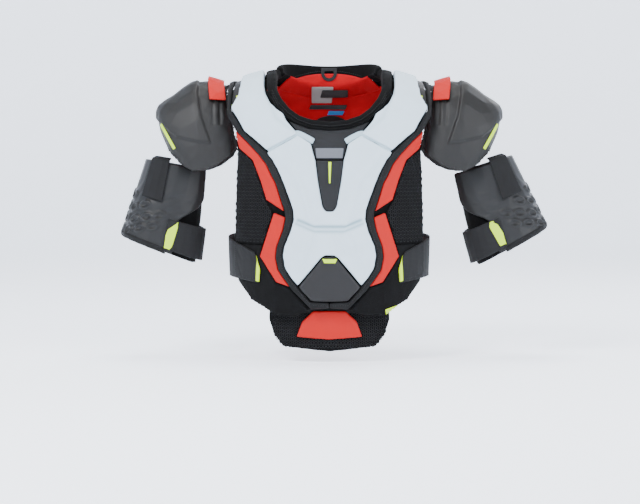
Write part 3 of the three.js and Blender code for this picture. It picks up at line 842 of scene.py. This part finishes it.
# %% Stitch rows
def stitch(name, line, targets, body, gap=4.0, facing=-1, material=THREAD):
    tree = tree_of(*(bpy.data.objects[t] for t in targets))
    spots = []
    for a, b in zip(line, line[1:]):
        a, b = Vector(a), Vector(b)
        count = max(1, round((b - a).length / gap))
        for k in range(count):
            p = a.lerp(b, k / count) * MM
            hit, normal = tree.ray_cast(Vector((p.x, facing * 0.6, p.y)), Vector((0, -facing, 0)))[:2]
            if hit is None:
                continue
            run = Vector((b.x - a.x, 0, b.y - a.y)).normalized()
            spots.append((hit + normal * 0.2 * MM, (run - normal * run.dot(normal)).normalized(), normal))
    return scatter(name, BEADS, spots, body, material, "black", Radius=0.55 * MM, Length=2.4)


EDGE = [
    (168, -50), (148, -84), (110, -120), (98, -136), (89, -156), (83, -169),
    (74, -197), (67, -218), (66, -233), (70, -251.5), (80, -278), (83, -295),
    (79.5, -315.5), (70, -332), (58, -348), (31, -378), (2, -378),
]
for side in SIDES:
    stitch("edge_stitch_" + side, mirrored(EDGE, side), [f"chest_binding_{side}_soft"], "chest", 4.0)
    tab = mirrored([(126, -294), (161, -274), (161, -328), (126, -336)], side)
    stitch("tab_stitch_" + side, tab, [f"waist_tab_{side}_soft"], "waist_tab_" + side, 3.5)
neckline = [(0, -76), (30, -73.5), (53, -65), (70, -53), (87, -35.5), (97, -15)]
whole = [(-x, z) for x, z in reversed(neckline[1:])] + neckline
stitch("collar_stitch", whole, ["collar_front_soft"], "chest", 3.5)
under_collar = ["collar_front_soft", "neck_bib_soft", "chest_carrier_soft"]
for k, drop_by in ((1, 6), (2, 12)):
    line = [(x, z - drop_by) for x, z in neckline]
    whole = [(-x, z) for x, z in reversed(line[1:])] + line
    stitch(f"collar_welt_{k}", whole, under_collar, "chest", 3.5)
rim = [(-60, 14), (-40, 20), (-20, 24), (0, 25), (20, 24), (40, 20), (60, 14)]
stitch("collar_rim_stitch", rim, ["collar_back_soft"], "back", 3.5)


# %% [markdown]
# ## Waist elastics and the hanging loop
# Each elastic is sewn to the back and hooks on the chest tab, and is attached to neither panel. The loop
# is a short round of webbing that swings from the collar.

# %% Elastics and loop
for side, sign in SIDES.items():
    elastic = soften("waist_band_" + side, [f"waist_elastic_{side}"], 1.0, 2)
    finish_piece(elastic, None, WEB, [f"waist_elastic_{side}"])
    lo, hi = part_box(f"waist_elastic_{side}")
    middle = (lo + hi) / 2
    ends = [(middle.x, y, middle.z) for y in (hi.y - 0.01, lo.y + 0.01)]
    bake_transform(elastic)
loop = soften("hang_loop_web", ["hang_loop"], 0.7, 3)
loop_web = ribbed_web("loop web", (0.012, 0.012, 0.013), 420.0, "X")
finish_piece(loop, "hang_loop", loop_web, ["hang_loop"])

# %% [markdown]
# ## Joins
# The collar runs on over each shoulder from the front ring to the back one. A short padded piece
# carries it across, and a strip of cloth carries the belly pad. Both are attached to neither panel.


# %% Collar joins, belly strip and guard bindings
def tube(name, stations, sides=14):
    """A closed tube through stations (centre, half width in x, half height) in millimetres."""
    form = bmesh.new()
    rings = []
    for centre, wide, high in stations:
        turn = [2 * math.pi * k / sides for k in range(sides)]
        ring = [Vector(centre) + Vector((wide * math.cos(a), 0, high * math.sin(a))) for a in turn]
        rings.append([form.verts.new(p * MM) for p in ring])
    for a, b in zip(rings, rings[1:]):
        for k in range(sides):
            form.faces.new((a[k], a[(k + 1) % sides], b[(k + 1) % sides], b[k]))
    form.faces.new(rings[0])
    form.faces.new(reversed(rings[-1]))
    bmesh.ops.recalc_face_normals(form, faces=form.faces)
    mesh = bpy.data.meshes.new(name)
    form.to_mesh(mesh)
    form.free()
    obj = new_object(name, mesh)
    fine = obj.modifiers.new("fine", "SUBSURF")
    fine.levels = fine.render_levels = 1
    return bake(obj)


for side, sign in SIDES.items():
    stations = [
        ((sign * 101, -24, 8), 10.5, 8.0),
        ((sign * 100.5, -14, 11.5), 11.4, 8.6),
        ((sign * 99.5, -6, 13.5), 11.6, 9.0),
        ((sign * 94.5, 1, 15.5), 10, 9.5),
        ((sign * 88.5, 7, 18), 7, 8.8),
        ((sign * 84, 13, 19), 5, 8),
    ]
    join = tube("collar_join_" + side, stations)
    finish_piece(join, None, BLACK_KNIT, ())
    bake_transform(join)
    stations = [
        ((sign * 165, -12, -1), 6.5, 4.6),
        ((sign * 164.5, -4, 0.4), 7.0, 4.8),
        ((sign * 162, 4, 0), 7.5, 4.8),
        ((sign * 159, 14, -3), 8.0, 4.4),
        ((sign * 157.5, 24, -7.5), 7.5, 3.8),
    ]
    edge = tube("edge_join_" + side, stations)
    finish_piece(edge, None, BINDING, ())
    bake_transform(edge)

NECK = (85, 57)  # how far the collar reaches sideways and backwards, in millimetres
ring, inner = (tree_of(bpy.data.objects[n]) for n in ("collar_back_soft", "back_liner_soft"))
behind = tree_of(bpy.data.objects["back_liner_soft"], bpy.data.objects["back_carrier_soft"])


def skirt(name, degrees, top_at, under, material):
    """Carries the inside of the back collar down to the layer below it."""
    rows = []
    for degree in degrees:
        a = math.radians(degree)
        out = Vector((math.cos(a) * NECK[0], math.sin(a) * NECK[1], 0)).normalized()
        foot = 14 - 20 * math.sin(a) ** 2 + 2.5
        top = max(top_at(abs(math.cos(a) * NECK[0])), foot + 3)
        heights = [top + (foot - top) * k / 4 for k in range(5)]
        hits = [ring.ray_cast(Vector((0, 0, h * MM)), out)[0] for h in heights]
        if None in hits:
            continue
        column = [hit - out * 1.1 * MM for hit in hits]
        edge = under.find_nearest(column[-1] + Vector((0, 0, -10 * MM)))[0]
        low = edge + (edge - column[-1]).normalized() * 4 * MM - out * 1.5 * MM
        rows.append(column + [column[-1].lerp(low, 0.35), column[-1].lerp(low, 0.7), low])
    obj = grid_object(name, rows)
    middle = obj.data.polygons[7 * (len(rows) // 2)]
    if middle.normal.dot(Vector((middle.center.x, middle.center.y, 0))) > 0:
        obj.data.flip_normals()
    thicken(obj, 2.6, 0.0, 0, 1)
    finish_piece(obj, "back", material, ())


def lining_top(x):
    return 20 - 17 * (x / 80) ** 2.5


def at_foot(x):
    return -99


middle_turns = [26 + 128 * i / 44 for i in range(45)]
side_turns = [4 + 26 * i / 12 for i in range(13)]
skirt("collar_lining", middle_turns, lining_top, inner, LINER)
skirt("collar_skirt_left", side_turns, at_foot, behind, BLACK_KNIT)
skirt("collar_skirt_right", [180 - turn for turn in side_turns], at_foot, behind, BLACK_KNIT)

inside_back = ["collar_lining", "back_liner_soft"]
LABELS = [
    ("care_label", [(-31, -3), (8, -3), (5, -31), (-31, -31)], LABEL, 0.5),
    ("size_patch", [(-12, -8), (34, -8), (34, -21), (-16, -21)], INSERT, 1.2),
    ("fibre_patch", [(-33, -34), (33, -34), (30, -42), (-36, -42)], INSERT, 0.7),
    ("blue_patch", [(0, -44.5), (28, -44.5), (25, -52), (-3, -52)], BLUE, 0.7),
]
for name, corners, material, lift in LABELS:
    label = patch(name, corners, inside_back, "back", material, lift)
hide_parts("size_label")
liner_tree = tree_of(bpy.data.objects["back_liner_soft"])
rows = []
for i in range(21):
    x = -28 + 63 * i / 20
    crown = -71 + 18 * math.sqrt(max(0.0, 1 - ((x - 3.5) / 32) ** 2))
    places = [drop(liner_tree, x, crown + (-80 - crown) * k / 5, -1) for k in range(6)]
    rows.append([hit + normal * 0.6 * MM for hit, normal in places])
disc = grid_object("label_disc", rows)
if disc.data.polygons[50].normal.y > 0:
    disc.data.flip_normals()
thicken(disc, 0.8, 1.0, 0, 1)
finish_piece(disc, "back", INSERT)

hung = tree_of(bpy.data.objects["belly_pad_tab_soft"], bpy.data.objects["belly_pad_soft"])
rows = []
for i in range(33):
    x = -63 + 126 * i / 32
    ends = [drop(hung, x, z, -1) for z in (-378, -393)]
    rows.append([ends[0][0].lerp(ends[1][0], k / 4) + Vector((0, -0.4 * MM, 0)) for k in range(5)])
strip = grid_object("belly_strip", rows)
if strip.data.polygons[40].normal.y > 0:
    strip.data.flip_normals()
thicken(strip, 2.4, 0.0, 0, 1)
finish_piece(strip, None, WEB, ())
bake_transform(strip)

for side, sign in SIDES.items():
    guard = tree_of(bpy.data.objects[f"arm_guard_{side}"])
    rows = []
    for k in range(56):
        angle = sign * (-17 + 3.9 * k)
        foot = -157 + 0.2 * 60 * math.sin(math.radians(abs(angle) if k > 4 else angle * sign))
        spots = [
            round_body(guard, [angle], [foot + h], 0, PIVOT[side], TURNED[side], 0.2) for h in (7.5, 3.5)
        ]
        if not all(spots):
            continue
        (high, out, up), (low, out2, _) = spots[0][0], spots[1][0]
        fold = low - up * 5.5 * MM
        over = [high + out * 0.3 * MM, low + out2 * 0.5 * MM]
        rows.append(over + [fold - out2 * 0.6 * MM, fold - out2 * 6.4 * MM])
    edge = grid_object("guard_binding_" + side, rows)
    middle = edge.data.polygons[3 * (len(rows) // 2)]
    if middle.normal.dot(middle.center - PIVOT[side]) < 0:
        edge.data.flip_normals()
    thicken(edge, 1.3, 1.0, 0, 1)
    finish_piece(edge, "arm_" + side, BINDING)
print("joins made")

# %% [markdown]
# ## Camera, light and floor
# A long lens from the front keeps the proportions flat, as in a catalogue. Wide soft lights and a
# pale bowl all round the pads give gentle highlights on the dark caps and no hard shadow.


# %% Studio
def aim(obj, target):
    obj.rotation_euler = (Vector(target) - obj.location).to_track_quat("-Z", "Y").to_euler()


TARGET = Vector((-0.016, -0.1, -0.289))
ELEVATION = math.radians(3)
DISTANCE = 3.02
camera = bpy.data.objects.new("camera", bpy.data.cameras.new("camera"))
bpy.context.scene.collection.objects.link(camera)
camera.data.lens, camera.data.sensor_width = 100, 36
camera.location = TARGET + DISTANCE * Vector((0, -math.cos(ELEVATION), math.sin(ELEVATION)))
aim(camera, TARGET)
bpy.context.scene.camera = camera


def soft_light(name, place, size, watts):
    data = bpy.data.lights.new(name, "AREA")
    data.shape, data.size, data.energy = "DISK", size, watts
    light = bpy.data.objects.new(name, data)
    bpy.context.scene.collection.objects.link(light)
    light.location = place
    aim(light, (0, 0, -0.2))


soft_light("key", (-1.3, -2.0, 1.7), 1.1, 95)
soft_light("fill", (1.9, -1.8, 0.9), 1.3, 42)
soft_light("top", (0, 0.1, 1.9), 1.3, 42)
soft_light("rim", (1.2, 1.6, 1.2), 1.2, 16)
world = bpy.data.worlds.new("studio")
world.use_nodes = True
world.node_tree.nodes["Background"].inputs["Color"].default_value = (0.86, 0.89, 0.94, 1)
world.node_tree.nodes["Background"].inputs["Strength"].default_value = 0.5
bpy.context.scene.world = world

floor_height = cad_box[0].z - 0.02
FLOOR_RADIUS, RISE = 4.6, 1.4
curve = [(FLOOR_RADIUS + RISE * math.sin(a), RISE - RISE * math.cos(a)) for a in (0.3, 0.6, 0.9, 1.2, 1.57)]
profile = [(0.0002, 0), (FLOOR_RADIUS, 0)] + curve + [(6.0, 6.0)]
turns = [2 * math.pi * k / 64 for k in range(65)]
rows = [[Vector((r * math.cos(t), r * math.sin(t), floor_height + h)) for r, h in profile] for t in turns]
floor = grid_object("floor", rows)
paper = Finish("pale paper", (0.85, 0.88, 0.93), 0.9, specular_ior_level=0.0, emission_strength=1.0)
paper.set("Emission Color", (0.85, 0.89, 0.96, 1))
floor.data.materials.append(paper.material)
floor.data.polygons.foreach_set("use_smooth", [True] * len(floor.data.polygons))
